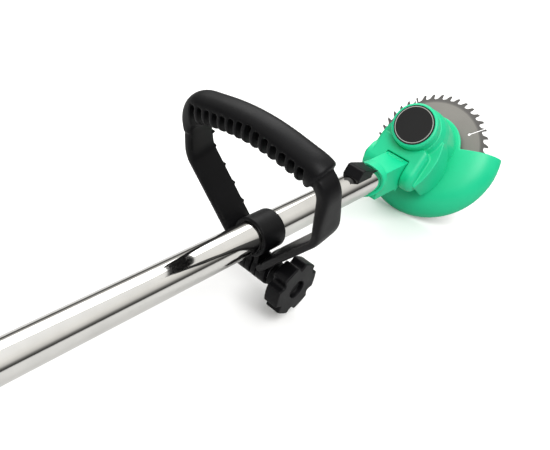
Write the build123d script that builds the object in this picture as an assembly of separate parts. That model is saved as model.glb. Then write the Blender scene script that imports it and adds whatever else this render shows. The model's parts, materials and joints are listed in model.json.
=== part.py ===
"""Battery brush cutter: saw-blade head on a tilting hinge, chrome shaft, D-handle and rear grip."""
from math import asin, atan2, cos, hypot, pi, radians, sin, sqrt, tan
import os

from build123d import *

# ---------------------------------------------------------------- driving dimensions (mm)
# Origin: middle of the battery's flat underside.  +X runs forward to the blade, +Z is up.
FIT = 0.05                 # running and seating fits
GAP = 0.3                  # clearance between pieces that move past each other
SCREW_R = 1.6
SCREW_HEAD_R = 3.1

HEAD_TILT = 54.0           # angle of the blade plane to the shaft at rest
BLADE_X = 850.0            # blade centre, forward of the battery's middle
BLADE_R = 58.0             # to the tooth tips
BLADE_T = 1.6
TEETH = 40
TOOTH_DEPTH = 5.2
SLOTS = 4
SLOT_R = 3.0               # keyhole at the inner end of each expansion slot
SLOT_LEN = 12.0
SLOT_W = 1.4
SLOT_TURN = 48.8           # first slot, degrees round from straight ahead

GUARD_CLEARANCE = 12.5     # guard rim outside the blade
GUARD_DROP = 12.0          # rim below the blade plane
GUARD_FROM = 155.0         # guard sector, degrees round the spindle from straight ahead
GUARD_TO = 291.0
GUARD_WALL = 2.4
GUARD_BASE_Z = 7.5         # underside of the guard's base ring, above the blade plane
GUARD_BASE_T = 3.5

MOTOR_R = 21.0
MOTOR_WALL = 1.5
MOTOR_BASE = 15.0
MOTOR_LEN = 37.0
MOTOR_ROOM = 3.3           # air round the motor inside the barrel
AIR_GAP = 0.7
SPINDLE_R = 4.0
SPINDLE_TOP_R = 3.0
SPINDLE_END = 13.5         # free end below the blade plane
LOWER_BEARING = (11.0, 7.0)    # outer radius, width
UPPER_BEARING = (9.5, 6.0)
FLANGE_R = 14.0
FLANGE_T = 4.0
NUT_AF = 13.0
NUT_T = 6.0

BARREL_WALL = 2.7
BARREL_TOP = 58.0          # where the cap sits
CAP_TOP = 70.4
CAP_WALL = 2.2
BADGE_T = 1.6
BADGE_RING_W = 0.7

SHAFT_R = 12.5
SHAFT_WALL = 1.2
SOCKET_DEPTH = 18.0        # shaft length inside the hinge block

HINGE_C = 46.6             # hinge axis above the blade plane
PIN_R = 3.0
KNUCKLE_R = 11.6
BLOCK_TOP = 14.6           # block's top face above the hinge axis
BLOCK_FLOOR = 4.7          # block under the shaft
BLOCK_LEN = 45.0
COLLAR_LEN = 13.0
MOUTH_R = 20.0             # the collar's rear edge is scooped back on this radius
CHEEK_R = 14.8
BOSS_ROUND = 6.0           # outer edge of the right-hand boss
ARM_END_R = 30.0           # the right arm's tip is trimmed on this radius
PIN_COVER = 6.0            # cheek left over the pin's right end
CHEEK_GAP = 0.6            # cheek to hinge block, each side
BUTTON_R = 7.4
BUTTON_OUT = 3.0           # stands proud of the cheek
BUTTON_TRAVEL = 2.6
DRUM_R = 8.6               # lock drum on the button's stem
DRUM_T = 5.5
DRUM_IN = 1.6              # drum reaches this far into the block

CATCH_LEN = 30.0           # sliding catch behind the hinge block
CATCH_H = 8.5
CATCH_W = 17.0

CLAMP_X = 591.0            # middle of the D-handle's clamp
CLAMP_LEN = 24.0
BOLT_AHEAD = 8.0           # clamp bolt ahead of the clamp's middle
BOLT_R = 3.0
LUG_HALF = 5.6             # clamp lug, half width
LUG_R = 11.5
KNUCKLE_W = 9.5            # each handle knuckle
LOOP_HALF = 61.5           # handle loop, to the middle of its legs
LOOP_H = 140.0             # bolt axis to the peak of the bowed grip bar
LOOP_SHOULDER = 128.0      # bolt axis to the bar's ends
LOOP_WAIST = 80.0          # where the legs start to close in
LOOP_LEAN = 15.6
LOOP_CLEARANCE = 3.0       # leg to clamp ring
BOW_R = 150.0              # bend of the bar's peak
LEG_T = 6.5
LEG_W = 25.0
FOOT_R = 16.5              # the legs are rounded off to this round the bolt
GRIP_R = 11.5
GRIP_HALF = 50.0
GRIP_CORE = 17.0           # width of the band inside the grip
FINGER_SLOTS = 13
FINGER_PITCH = 7.6
FINGER_W = 4.4
FINGER_DEPTH = 6.5
KNOB_R = 23.5
KNOB_T = 13.0
KNOB_LOBES = 6
KNOB_STEM_R = 9.0
KNOB_STEM = 10.0

CELL_R = 9.1
CELL_LEN = 65.0
CELLS = 5                  # cells in each of the two rows
CELL_GAP = 0.4
BATTERY_WALL = 2.2
LATCH_LEN = 14.0
BATTERY_NOSE = 12.3        # room ahead of the cells
RAIL_HALF = 21.0
RAIL_NECK = 17.0
RAIL_T = 3.2
RAIL_NECK_H = 3.6
RAIL_STOP = 0.6            # rail end to the terminal block
BLADE_TABS = (-9.0, 0.0, 9.0)   # terminal blades, across the rail

REAR_HALF = 22.0           # rear shells, half width
REAR_WALL = 3.0
REAR_ROUND = 8.0
FOOT_HALF = 34.0
FOOT_T = 15.7
HAND_ROOM = 34.0           # height of the hand opening
GRIP_BAR = 30.0            # height of the grip bar
NOSE_X = 232.0             # front end of the rear shells
NOSE_LEN = 44.0
TRIGGER_W = 12.0
PIVOT_R = 2.0
EYE_X = 262.0
EYE_R = 4.5

# ---------------------------------------------------------------- derived sizes and places
BARREL_R = MOTOR_R + MOTOR_ROOM + BARREL_WALL
CAP_R = MOTOR_R + 1.3
BADGE_R = CAP_R - 3.1
BADGE_RING_R = BADGE_R - 1.4
ARMATURE_R = MOTOR_R - 7.0
GUARD_R = BLADE_R + GUARD_CLEARANCE
GUARD_BASE_R = BARREL_R + 5.5
CHEEK_OUT = BARREL_R + 5.0     # fork cheeks, half width over all
BLOCK_W = 2 * SHAFT_R - 1.0
COLLAR_R = SHAFT_R + 3.1
CLAMP_R = SHAFT_R + 3.2
BOLT_DROP = CLAMP_R + LUG_R + 5.8
NOSE_R = SHAFT_R + 5.5

tilt = radians(HEAD_TILT)
# Battery underside and guard rim stand on the same floor.
AXIS_Z = GUARD_R * sin(tilt) + GUARD_DROP * cos(tilt)
HEAD = Plane(
    origin=(BLADE_X, 0, AXIS_Z),
    x_dir=(cos(tilt), 0, sin(tilt)),
    z_dir=(-sin(tilt), 0, cos(tilt)),
).location
# Hinge axis in the head's own frame (x forward in the blade plane, z up the spindle) and in the tool's.
HINGE_A = -(BARREL_R + KNUCKLE_R + 1.1)
HINGE_X = BLADE_X + HINGE_A * cos(tilt) - HINGE_C * sin(tilt)
HINGE_Z = AXIS_Z + HINGE_A * sin(tilt) + HINGE_C * cos(tilt)
BLOCK_FRONT = HINGE_X - 5.0
BLOCK_BASE = AXIS_Z - SHAFT_R - BLOCK_FLOOR
BLOCK_REAR = BLOCK_FRONT - BLOCK_LEN
SHAFT_END = BLOCK_REAR + SOCKET_DEPTH - COLLAR_LEN
SHAFT_START = NOSE_X - NOSE_LEN + 8.0
BOLT_X = CLAMP_X + BOLT_AHEAD
BOLT_Z = AXIS_Z - BOLT_DROP

CELL_PITCH = 2 * CELL_R + CELL_GAP
BATTERY_L = LATCH_LEN + 4.5 + CELLS * CELL_PITCH + BATTERY_WALL + BATTERY_NOSE
BATTERY_W = CELL_LEN + 2 * BATTERY_WALL + 0.6
BATTERY_H = 2 * CELL_PITCH + 2 * BATTERY_WALL + 2.4
BATTERY_REAR = -BATTERY_L / 2
RAIL_REAR = BATTERY_REAR + LATCH_LEN + 4.0
RAIL_FRONT = BATTERY_REAR + BATTERY_L - 14.0
LATCH_REAR = BATTERY_REAR + 2.0
FOOT_BOTTOM = BATTERY_H + GAP
FOOT_TOP = FOOT_BOTTOM + FOOT_T
SHELL_REAR = BATTERY_REAR + 9.0
FOOT_FRONT = RAIL_FRONT + 15.0
OPENING_LOW = FOOT_TOP + 10.0
OPENING_HIGH = OPENING_LOW + HAND_ROOM
TOP_BAR = OPENING_HIGH + GRIP_BAR
PIVOT_X, PIVOT_Z = 104.0, OPENING_HIGH + 9.0

os.makedirs("parts", exist_ok=True)


# ---------------------------------------------------------------- small helpers
def save(name, shape):
    """Write one node."""
    export_step(shape, f"parts/{name}.step")


def along_x(radius, x0, x1, y=0.0, z=0.0):
    return Pos((x0 + x1) / 2, y, z) * Rot(0, 90, 0) * Cylinder(radius, x1 - x0)


def along_y(radius, y0, y1, x=0.0, z=0.0):
    return Pos(x, (y0 + y1) / 2, z) * Rot(90, 0, 0) * Cylinder(radius, y1 - y0)


def along_z(radius, z0, z1, x=0.0, y=0.0):
    return Pos(x, y, (z0 + z1) / 2) * Cylinder(radius, z1 - z0)


def ring(outer, inner, z0, z1):
    return along_z(outer, z0, z1) - along_z(inner, z0 - 1, z1 + 1)


def slab(x0, x1, y0, y1, z0, z1):
    return Pos((x0 + x1) / 2, (y0 + y1) / 2, (z0 + z1) / 2) * Box(x1 - x0, y1 - y0, z1 - z0)


def side_plate(points, y0, y1):
    """Closed outline in the XZ plane, made solid from y0 to y1."""
    face = Plane.XZ * make_face(Polyline(*points, close=True))
    return Pos(0, y1, 0) * extrude(face, y1 - y0)


def turned(points):
    """Closed (radius, height) outline turned round Z."""
    face = Plane.XZ * make_face(Polyline(*points, close=True))
    return revolve(face, Axis.Z, 360)


def coil(radius, wire, turns, height):
    """Compression spring standing on XY."""
    path = Helix(pitch=height / turns, height=height, radius=radius)
    start = Plane(origin=path @ 0, z_dir=path % 0)
    return sweep(start * Circle(wire), path=path, is_frenet=True)


def screw_z(x, y, z_head, length, head_h=2.0):
    """Pan-head screw driven upwards from z_head, with a cross recess."""
    body = along_z(SCREW_HEAD_R, z_head, z_head + head_h, x, y)
    body += along_z(SCREW_R, z_head + head_h, z_head + head_h + length, x, y)
    for turn in (0, 90):
        body -= Pos(x, y, z_head) * Rot(0, 0, turn) * Box(3.6, 0.8, 1.6)
    return body


def screw_y(x, z, y_head, length, side):
    """Pan-head screw driven along Y; side is +1 when it is driven towards +Y."""
    return Pos(x, y_head, z) * Rot(-90 * side, 0, 0) * screw_z(0, 0, 0, length)


# ---------------------------------------------------------------- blade and spindle
def blade():
    """Circular saw plate with hooked teeth, expansion slots and a round bore."""
    root = BLADE_R - TOOTH_DEPTH
    step = 2 * pi / TEETH
    outline = []
    for i in range(TEETH):
        a = -i * step
        tooth = [(root, 0.0), (root + 0.9, 0.30), (BLADE_R - 0.7, 0.62), (BLADE_R, 0.86), (root + 0.6, 0.78)]
        for radius, share in tooth:
            t = a - share * step
            outline.append((radius * cos(t), radius * sin(t)))
    plate = extrude(make_face(Polyline(*outline, close=True)), BLADE_T)
    plate = Pos(0, 0, -BLADE_T / 2) * plate
    plate -= along_z(SPINDLE_R + FIT, -BLADE_T, BLADE_T)
    for i in range(SLOTS):
        turn = Rot(0, 0, SLOT_TURN + 360 / SLOTS * i)
        inner = root - SLOT_LEN
        plate -= turn * along_z(SLOT_R / 2, -BLADE_T, BLADE_T, inner)
        plate -= turn * slab(inner, BLADE_R, -SLOT_W / 2, SLOT_W / 2, -BLADE_T, BLADE_T)
    return plate


def spindle():
    """Motor shaft that carries the blade; the free end is threaded for the nut."""
    neck = MOTOR_BASE + MOTOR_LEN - 2
    body = along_z(SPINDLE_R, -SPINDLE_END, neck)
    body += along_z(SPINDLE_TOP_R, neck, neck + UPPER_BEARING[1] + 0.5)
    return chamfer(body.edges().sort_by(Axis.Z)[0], 0.7)


def blade_flange(z0, z1, rim_z):
    """Clamping flange, relieved so that only its rim grips the blade."""
    body = along_z(FLANGE_R, z0, z1) - along_z(SPINDLE_R + FIT, z0 - 1, z1 + 1)
    relief = ring(FLANGE_R - 3.5, SPINDLE_R + 2.5, 0, 0.6)
    lower = rim_z if rim_z == z0 else rim_z - 0.6
    return body - Pos(0, 0, lower) * relief


def blade_nut():
    top = -BLADE_T / 2 - FLANGE_T
    body = Pos(0, 0, top - NUT_T) * extrude(RegularPolygon(NUT_AF / 2, 6, major_radius=False), NUT_T)
    return body - along_z(SPINDLE_R, top - NUT_T - 1, top + 1)


def bearing(size, inner, z0):
    """Deep-groove bearing: two rings and a shield between them."""
    outer, width = size
    rim = ring(outer, outer - 1.6, z0, z0 + width)
    hub = ring(inner + 1.5, inner, z0, z0 + width)
    shield = ring(outer - 1.6, inner + 1.5, z0 + 0.6, z0 + width - 0.6)
    return rim + hub + shield


# ---------------------------------------------------------------- motor
def motor_can():
    top = MOTOR_BASE + MOTOR_LEN
    body = ring(MOTOR_R, MOTOR_R - MOTOR_WALL, MOTOR_BASE, top)
    body += ring(MOTOR_R, UPPER_BEARING[0] + FIT, top - MOTOR_WALL, top)
    seat = top - MOTOR_WALL + UPPER_BEARING[1]
    body += ring(UPPER_BEARING[0] + 1.2, UPPER_BEARING[0] + FIT, top - MOTOR_WALL, seat - 1)
    for i in range(4):
        vent = Rot(0, 0, 45 + 90 * i) * slab(MOTOR_R - 4, MOTOR_R + 2, -3, 3, top - 9, top - 4)
        body -= vent
    return body


def motor_magnets():
    """Two curved magnets bonded inside the can."""
    outer = MOTOR_R - MOTOR_WALL
    shells = ring(outer, ARMATURE_R + AIR_GAP, MOTOR_BASE + 5, MOTOR_BASE + 28)
    keep = slab(-8, 8, -30, 30, 0, 60)
    return shells - keep


def armature():
    """Slotted lamination stack with its windings."""
    z0, z1 = MOTOR_BASE + 6, MOTOR_BASE + 26
    body = ring(ARMATURE_R, SPINDLE_R, z0, z1)
    for i in range(5):
        body -= Rot(0, 0, 72 * i) * slab(ARMATURE_R - 3, ARMATURE_R + 1, -0.9, 0.9, z0 - 1, z1 + 1)
    for end in (z0 - 2.5, z1):
        body += ring(ARMATURE_R - 3.5, SPINDLE_R, end, end + 2.5)
    return body


def commutator():
    z0 = MOTOR_BASE + 29
    body = ring(7.0, SPINDLE_R, z0, z0 + 5.5)
    for i in range(5):
        body -= Rot(0, 0, 72 * i) * slab(6.0, 8, -0.3, 0.3, z0 - 1, z0 + 7)
    return body


def motor_brushes():
    z0 = MOTOR_BASE + 29.7
    pair = slab(7.1, MOTOR_R - MOTOR_WALL - 0.2, -2, 2, z0, z0 + 4)
    return pair + Rot(0, 0, 180) * pair


def motor_mount():
    """Plate under the motor that seats the lower bearing."""
    radius = BARREL_R - BARREL_WALL - FIT
    base = GUARD_BASE_Z + GUARD_BASE_T
    body = along_z(radius, base, MOTOR_BASE)
    body += along_z(LOWER_BEARING[0] + 3, MOTOR_BASE - LOWER_BEARING[1], MOTOR_BASE)
    body -= along_z(LOWER_BEARING[0] + FIT, 0, MOTOR_BASE + 1)
    for x, y in mount_holes():
        body -= along_z(SCREW_R + FIT, 0, 20, x, y)
    return body


def mount_holes():
    """Three screws join guard and motor plate."""
    spots = []
    for i in range(3):
        t = radians(60 + 120 * i)
        spots.append(((MOTOR_R - 2) * cos(t), (MOTOR_R - 2) * sin(t)))
    return spots


# ---------------------------------------------------------------- head shell, cap and guard
def cheek_outline(side):
    """Top view of a fork cheek: an almond that runs back from the barrel to the hinge."""
    inner = CHEEK_OUT - 10.5
    tip = HINGE_A - 9.5
    end = (tip, CHEEK_OUT - 5.5)
    start = (4, BARREL_R - 0.6)
    root = (-8, inner - 3)
    outer_line = Spline(start, (-12, CHEEK_OUT - 0.6), (-27, CHEEK_OUT), (HINGE_A, CHEEK_OUT - 2), end)
    inner_line = Spline(end, (HINGE_A, inner + 2.6), (-26, inner), root)
    close = Line(root, start)
    face = make_face(outer_line + inner_line + close)
    if side < 0:
        face = mirror(face, Plane.XZ)
    return face


def fork_cheeks():
    """Left cheek is a full boss that holds the lock button; the right one is a slim arm."""
    base = GUARD_BASE_Z + GUARD_BASE_T
    top = HINGE_C + 4.5
    right = Pos(0, 0, base) * extrude(cheek_outline(-1), top - base)
    left = Pos(0, 0, base) * extrude(cheek_outline(1), top - base)
    inside = BLOCK_W / 2 + CHEEK_GAP
    keep = along_y(ARM_END_R, -60, 60, HINGE_A + 12.5, HINGE_C - 4)
    right = right & keep
    left = left & keep
    left += along_y(CHEEK_R, inside, CHEEK_OUT - 1.0, HINGE_A, HINGE_C)
    left += slab(HINGE_A, -BARREL_R + 8, inside, CHEEK_OUT - 6, HINGE_C - CHEEK_R, HINGE_C + CHEEK_R)
    return left + right + right_boss(-CHEEK_OUT + 7, -inside)


def right_boss(y0, y1):
    """Rounded boss between block and right arm, carried forward into the barrel."""
    length = -BARREL_R + 12 - HINGE_A
    outline = Circle(CHEEK_R) + Pos(length / 2, 0) * Rectangle(length, 2 * CHEEK_R)
    boss = extrude(outline, y1 - y0)
    rim = boss.edges().group_by(Axis.Z)[-1]
    boss = fillet(rim, BOSS_ROUND)
    return Pos(HINGE_A, y1, HINGE_C) * Rot(90, 0, 0) * boss


def head_shell():
    """Motor barrel with its shoulder, the roof over the knuckle and the hinge fork."""
    base = GUARD_BASE_Z + GUARD_BASE_T
    bore = BARREL_R - BARREL_WALL
    top = BARREL_TOP
    outer = turned([
        (0, base), (BARREL_R + 0.8, base), (BARREL_R + 0.2, top - 28), (BARREL_R, top - 16),
        (BARREL_R - 1.4, top - 8), (CAP_R + 0.6, top), (0, top),
    ])
    roof_w = BLOCK_W / 2 + CHEEK_GAP
    roof = slab(HINGE_A + 9, -15, -roof_w, CHEEK_OUT - 7, HINGE_C + KNUCKLE_R + 0.9, top + 3.4)
    body = outer + fork_cheeks() + roof
    body -= along_z(CAP_R + FIT, top, top + 32)
    neck, mouth = MOTOR_R + 0.4, CAP_R - CAP_WALL
    body -= turned([
        (0, base - 1), (bore, base - 1), (bore, top - 14), (neck, top - 8), (neck, top - 4.5),
        (mouth, top - 4.5), (mouth, top + 32), (0, top + 32),
    ])
    body -= along_y(KNUCKLE_R + 0.4, -BLOCK_W / 2 - CHEEK_GAP, BLOCK_W / 2 + CHEEK_GAP, HINGE_A, HINGE_C)
    body -= along_y(PIN_R + FIT, -CHEEK_OUT + PIN_COVER, CHEEK_OUT + 5, HINGE_A, HINGE_C)
    body -= along_y(DRUM_R + GAP, 0, BLOCK_W / 2 + CHEEK_GAP + DRUM_T, HINGE_A, HINGE_C)
    body -= along_y(5.0 + GAP, 0, CHEEK_OUT + 2, HINGE_A, HINGE_C)
    body -= along_y(BUTTON_R + GAP, CHEEK_OUT - 7, CHEEK_OUT + 9, HINGE_A, HINGE_C)
    for x, y in shell_screw_spots():
        body -= along_z(SCREW_R, base - 1, base + 9, x, y)
    return body


def shell_screw_spots():
    """Screws through the guard's ring into the shell wall, where the cheeks are thick."""
    return [(-MOTOR_R - 1, BARREL_R - 2.5), (-MOTOR_R - 1, 2.5 - BARREL_R)]


def motor_cap():
    """Turned cap over the motor with a shallow seat for the badge."""
    r, top = CAP_R, CAP_TOP
    body = turned([
        (0, BARREL_TOP), (r, BARREL_TOP), (r, top - 2.2), (r - 0.7, top - 0.7), (r - 2.2, top), (0, top),
    ])
    body -= along_z(CAP_R - CAP_WALL, BARREL_TOP - 1, CAP_TOP - 3.2)
    return body - along_z(BADGE_R + FIT, CAP_TOP - 1.0, CAP_TOP + 2)


def badge():
    z0 = CAP_TOP - 1.0
    return along_z(BADGE_R, z0, z0 + BADGE_T)


def badge_ring():
    z0 = CAP_TOP - 1.0 + BADGE_T
    half = BADGE_RING_W / 2
    return ring(BADGE_RING_R + half, BADGE_RING_R - half, z0, z0 + 0.3)


def guard():
    """Base ring under the barrel with a domed shroud over the rear and right of the blade."""
    z1 = GUARD_BASE_Z + GUARD_BASE_T
    w = GUARD_WALL
    edge, start, low = GUARD_R, GUARD_BASE_R - 4, -GUARD_DROP
    crown = [(edge - 24.5, z1 - 1.2), (edge - 10.5, 4.5), (edge - 3, -3.5)]
    under = [(edge - 3 - w, -4.3), (edge - 11.5, 4.5 - w), (edge - 25, z1 - 1.2 - w)]
    outer = Spline((start, z1), *crown, (edge, low), tangents=[(1, 0), (0.15, -1)])
    inner = Spline((edge - w, low), *under, (start, z1 - w - 0.6), tangents=[(-0.15, 1), (-1, 0)])
    rim = Line((edge, low), (edge - w, low))
    root = Line((start, z1 - w - 0.6), (start, z1))
    face = Plane.XZ * make_face(outer + rim + inner + root)
    shroud = Rot(0, 0, GUARD_FROM) * revolve(face, Axis.Z, GUARD_TO - GUARD_FROM)
    base = ring(GUARD_BASE_R, LOWER_BEARING[0] + 3 + GAP, GUARD_BASE_Z, z1)
    base = fillet(base.edges().filter_by(GeomType.CIRCLE).sort_by(SortBy.RADIUS)[-2:], 1.2)
    body = base + shroud
    for x, y in mount_holes() + shell_screw_spots():
        body -= along_z(SCREW_R + FIT, 0, 20, x, y)
        body -= along_z(SCREW_HEAD_R + FIT, 0, GUARD_BASE_Z + 2.0, x, y)
    return body


def guard_screws():
    group = []
    for x, y in mount_holes():
        group.append(screw_z(x, y, GUARD_BASE_Z, MOTOR_BASE - GUARD_BASE_Z - 2.2))
    for x, y in shell_screw_spots():
        group.append(screw_z(x, y, GUARD_BASE_Z, 10))
    return Compound(children=group)


# ---------------------------------------------------------------- hinge
def hinge_pin():
    """Steel pin through cheeks and block; the lock drum slides on its left end."""
    return along_y(PIN_R, -CHEEK_OUT + PIN_COVER + 0.5, CHEEK_OUT - 9, HINGE_A, HINGE_C)


def tilt_button():
    """Push button with a hollow stem and the lock drum that ties cheek and block together."""
    inner = BLOCK_W / 2 - DRUM_IN
    body = along_y(DRUM_R, inner, inner + DRUM_T, HINGE_A, HINGE_C)
    body += along_y(5.0, inner, CHEEK_OUT - 3, HINGE_A, HINGE_C)
    cap = along_y(BUTTON_R, CHEEK_OUT - 3.5, CHEEK_OUT + BUTTON_OUT, HINGE_A, HINGE_C)
    body += fillet(cap.edges().sort_by(Axis.Y)[-1], 1.6)
    return body - along_y(PIN_R + FIT, inner - 1, CHEEK_OUT - 5, HINGE_A, HINGE_C)


def tilt_spring():
    """Pushes the lock drum outwards; it stands in the block's pocket."""
    stand = BLOCK_W / 2 - DRUM_IN - BUTTON_TRAVEL - GAP
    body = Rot(90, 0, 0) * coil(4.6, 0.4, 2, 1.5)
    return Pos(HINGE_X, stand - 0.4, HINGE_Z) * body


def hinge_block():
    """Socket collar on the shaft, flat-sided block and the knuckle between the fork cheeks."""
    top, bottom = HINGE_Z + BLOCK_TOP, BLOCK_BASE
    half = BLOCK_W / 2
    body = slab(BLOCK_REAR, BLOCK_FRONT - 4, -half, half, bottom, top)
    back, front = BLOCK_FRONT - 4, BLOCK_FRONT
    nose = side_plate([(back, bottom), (front, HINGE_Z - 8), (front, top), (back, top)], -half, half)
    body = body + nose + along_y(KNUCKLE_R, -half, half, HINGE_X, HINGE_Z)
    body += slab(BLOCK_FRONT - 6, HINGE_X, -half, half, HINGE_Z - KNUCKLE_R, HINGE_Z + 3)
    body += along_x(COLLAR_R, BLOCK_REAR - COLLAR_LEN, BLOCK_REAR + 6, 0, AXIS_Z)
    for x0 in (BLOCK_REAR + 2.5, BLOCK_FRONT - 5.5):
        body -= slab(x0, x0 + 2.6, -half + 5, half - 2.5, top - 1.4, top + 1)
    body += slab(BLOCK_FRONT - 9, BLOCK_FRONT - 6, -half, -half + 4, bottom - 2.4, bottom + 1)
    body -= along_x(SHAFT_R + FIT, BLOCK_REAR - COLLAR_LEN - 1, SHAFT_END + 0.2, 0, AXIS_Z)
    body -= along_x(6.0, SHAFT_END - 1, HINGE_X - 12, 0, AXIS_Z - 1)
    body -= along_y(PIN_R + FIT, -half - 1, half + 1, HINGE_X, HINGE_Z)
    body -= along_y(DRUM_R + GAP, half - 7.0, half + 1, HINGE_X, HINGE_Z)
    body -= along_y(MOUTH_R, -COLLAR_R - 1, COLLAR_R + 1, BLOCK_REAR - MOUTH_R, AXIS_Z + 2)
    for x in block_screw_places():
        body -= along_z(SCREW_R, bottom - 1, AXIS_Z - SHAFT_R + 0.5, x)
        body -= along_z(SCREW_HEAD_R + FIT, bottom - 1, bottom + 2.2, x)
    return body


def block_screw_places():
    return [BLOCK_REAR - 5.0, BLOCK_REAR + 1.5]


def block_screws():
    """Two grub-length screws that hold the shaft in the block."""
    group = []
    for x in block_screw_places():
        group.append(screw_z(x, 0, BLOCK_BASE, BLOCK_FLOOR - 2.0 - 0.4))
    return Compound(children=group)


def shaft_catch():
    """Wedge-shaped sliding catch on top of the shaft, tall at its rear end."""
    rim = COLLAR_R - 4
    front = BLOCK_REAR - MOUTH_R + sqrt(MOUTH_R**2 - rim**2) - GAP
    rear = front - CATCH_LEN
    z = AXIS_Z + SHAFT_R
    outline = [
        (rear, z - 6), (rear - 1.0, z + 1), (rear + 3, z + CATCH_H), (rear + 7, z + CATCH_H),
        (front, z + 1.6), (front, z - 6),
    ]
    body = side_plate(outline, -CATCH_W / 2, CATCH_W / 2)
    body -= along_x(SHAFT_R + FIT, rear - 5, front + 5, 0, AXIS_Z)
    return body - along_x(COLLAR_R + GAP, BLOCK_REAR - COLLAR_LEN - GAP, front + 5, 0, AXIS_Z)


def shaft_tube():
    body = along_x(SHAFT_R, SHAFT_START, SHAFT_END, 0, AXIS_Z)
    return body - along_x(SHAFT_R - SHAFT_WALL, SHAFT_START - 1, SHAFT_END + 1, 0, AXIS_Z)


def wire_loom():
    """Two-core lead that runs the length of the shaft."""
    body = along_x(1.9, SHAFT_START - 30, SHAFT_END + 8, 2.0, AXIS_Z)
    return body + along_x(1.9, SHAFT_START - 30, SHAFT_END + 8, -1.6, AXIS_Z)


# ---------------------------------------------------------------- D-handle and its clamp
BOLT = Pos(BOLT_X, 0, BOLT_Z)
LEAN = BOLT * Rot(0, -LOOP_LEAN, 0)


def loop_face(grow):
    """The handle's loop seen from behind, as its middle line moved out by grow."""
    # Each lower leg runs down from the waist, tangent to a circle that clears the clamp ring.
    clear = CLAMP_R + LOOP_CLEARANCE + LEG_T / 2
    rise = LOOP_WAIST - BOLT_DROP
    slope = atan2(rise, LOOP_HALF) + asin(clear / hypot(rise, LOOP_HALF))
    low = LUG_R + 0.5
    foot = LOOP_HALF - (LOOP_WAIST - low) / tan(slope)
    half = [(foot, low), (LOOP_HALF, LOOP_WAIST), (LOOP_HALF, LOOP_SHOULDER)]
    points = half + [(0, LOOP_H)] + [(-x, z) for x, z in reversed(half)]
    corners = [4.0, 16.0, 16.0, BOW_R, 16.0, 16.0, 4.0]
    middle = make_face(FilletPolyline(*points, radius=corners, close=True))
    return offset(middle, grow, kind=Kind.ARC)


def loop_band():
    """The whole moulded band, before its ends are cut apart."""
    flat = loop_face(LEG_T / 2) - loop_face(-LEG_T / 2)
    band = Pos(-LEG_W / 2, 0, 0) * extrude(Plane.YZ * flat, LEG_W)
    # narrow core under the grip, and feet that turn clear of the clamp ring
    low = LOOP_SHOULDER - 2 * LEG_T
    for x in (-LEG_W / 2 - GRIP_CORE / 2, LEG_W / 2 + GRIP_CORE / 2):
        band -= slab(x - LEG_W / 2, x + LEG_W / 2, -GRIP_HALF, GRIP_HALF, low, LOOP_H + LEG_T)
    feet = slab(-LEG_W, LEG_W, -FOOT_R + 2, FOOT_R - 2, 0, 2 * FOOT_R)
    return band - (feet - along_y(FOOT_R, -FOOT_R, FOOT_R))


def clamp_ring():
    """Split collar round the shaft with the lug that the handle pivots on."""
    x0, x1 = CLAMP_X - CLAMP_LEN / 2, CLAMP_X + CLAMP_LEN / 2
    body = along_x(CLAMP_R, x0, x1, 0, AXIS_Z)
    body = chamfer(body.edges().filter_by(GeomType.CIRCLE), 0.6)
    body += along_y(LUG_R, -LUG_HALF, LUG_HALF, BOLT_X, BOLT_Z)
    body += slab(BOLT_X - LUG_R + 1.5, x1 - 1, -LUG_HALF, LUG_HALF, BOLT_Z, AXIS_Z - 5)
    body -= along_x(SHAFT_R + FIT, x0 - 30, x1 + 30, 0, AXIS_Z)
    body -= slab(x0 - 20, x1 + 20, -0.8, 0.8, BOLT_Z - 30, AXIS_Z - 5)
    return body - along_y(BOLT_R + FIT, -50, 50, BOLT_X, BOLT_Z)


def front_handle():
    """Moulded loop whose two ends are knuckles each side of the clamp lug."""
    loop = loop_band()
    inner = LUG_HALF + GAP
    for side in (-1, 1):
        y0, y1 = sorted((side * inner, side * (inner + KNUCKLE_W)))
        loop += along_y(LUG_R, y0, y1)
    loop -= slab(-40, 40, -inner, inner, -20, 30)
    loop -= along_y(BOLT_R + FIT, -50, 50)
    return LEAN * loop


def handle_grip():
    """Sleeve on the bowed top bar, with finger slots across its back."""
    path = FilletPolyline((0, -GRIP_HALF, bar_height(GRIP_HALF)), (0, 0, LOOP_H),
                          (0, GRIP_HALF, bar_height(GRIP_HALF)), radius=BOW_R)
    start = Plane(origin=path @ 0, z_dir=path % 0)
    sleeve = fillet(sweep(start * Circle(GRIP_R), path=path).edges().filter_by(GeomType.CIRCLE), 1.5)
    for i in range(FINGER_SLOTS):
        y = (i - (FINGER_SLOTS - 1) / 2) * FINGER_PITCH
        z = bar_height(y)
        depth = GRIP_R - FINGER_DEPTH
        sleeve -= slab(-2 * GRIP_R, -depth, y - FINGER_W / 2, y + FINGER_W / 2, z - 1.2 * GRIP_R, z + 5)
    return LEAN * (sleeve - loop_band())


def bar_height(y):
    """Height of the bar's middle line over the bolt, before its peak is rounded."""
    return LOOP_H - (LOOP_H - LOOP_SHOULDER) * abs(y) / LOOP_HALF


def clamp_bolt():
    """Coach bolt through knuckles and lug, threaded into the knob."""
    y_head = LUG_HALF + GAP + KNUCKLE_W + GAP
    knob_face = y_head + 1.0 + GAP + KNOB_STEM + KNOB_T
    body = along_y(BOLT_R, -knob_face + 5, y_head + 1, 0, 0)
    head = along_y(6.5, y_head, y_head + 3.4, 0, 0)
    return BOLT * (body + fillet(head.edges().sort_by(Axis.Y)[-1], 2.6))


def knob_start():
    """Where the washer ends and the knob's stem begins, to the right of the shaft."""
    return -(LUG_HALF + GAP + KNUCKLE_W + GAP + 1.0)


def bolt_washer():
    body = along_y(8.0, knob_start(), knob_start() + 1.0, 0, 0)
    return BOLT * (body - along_y(BOLT_R + FIT, -60, 60))


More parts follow.
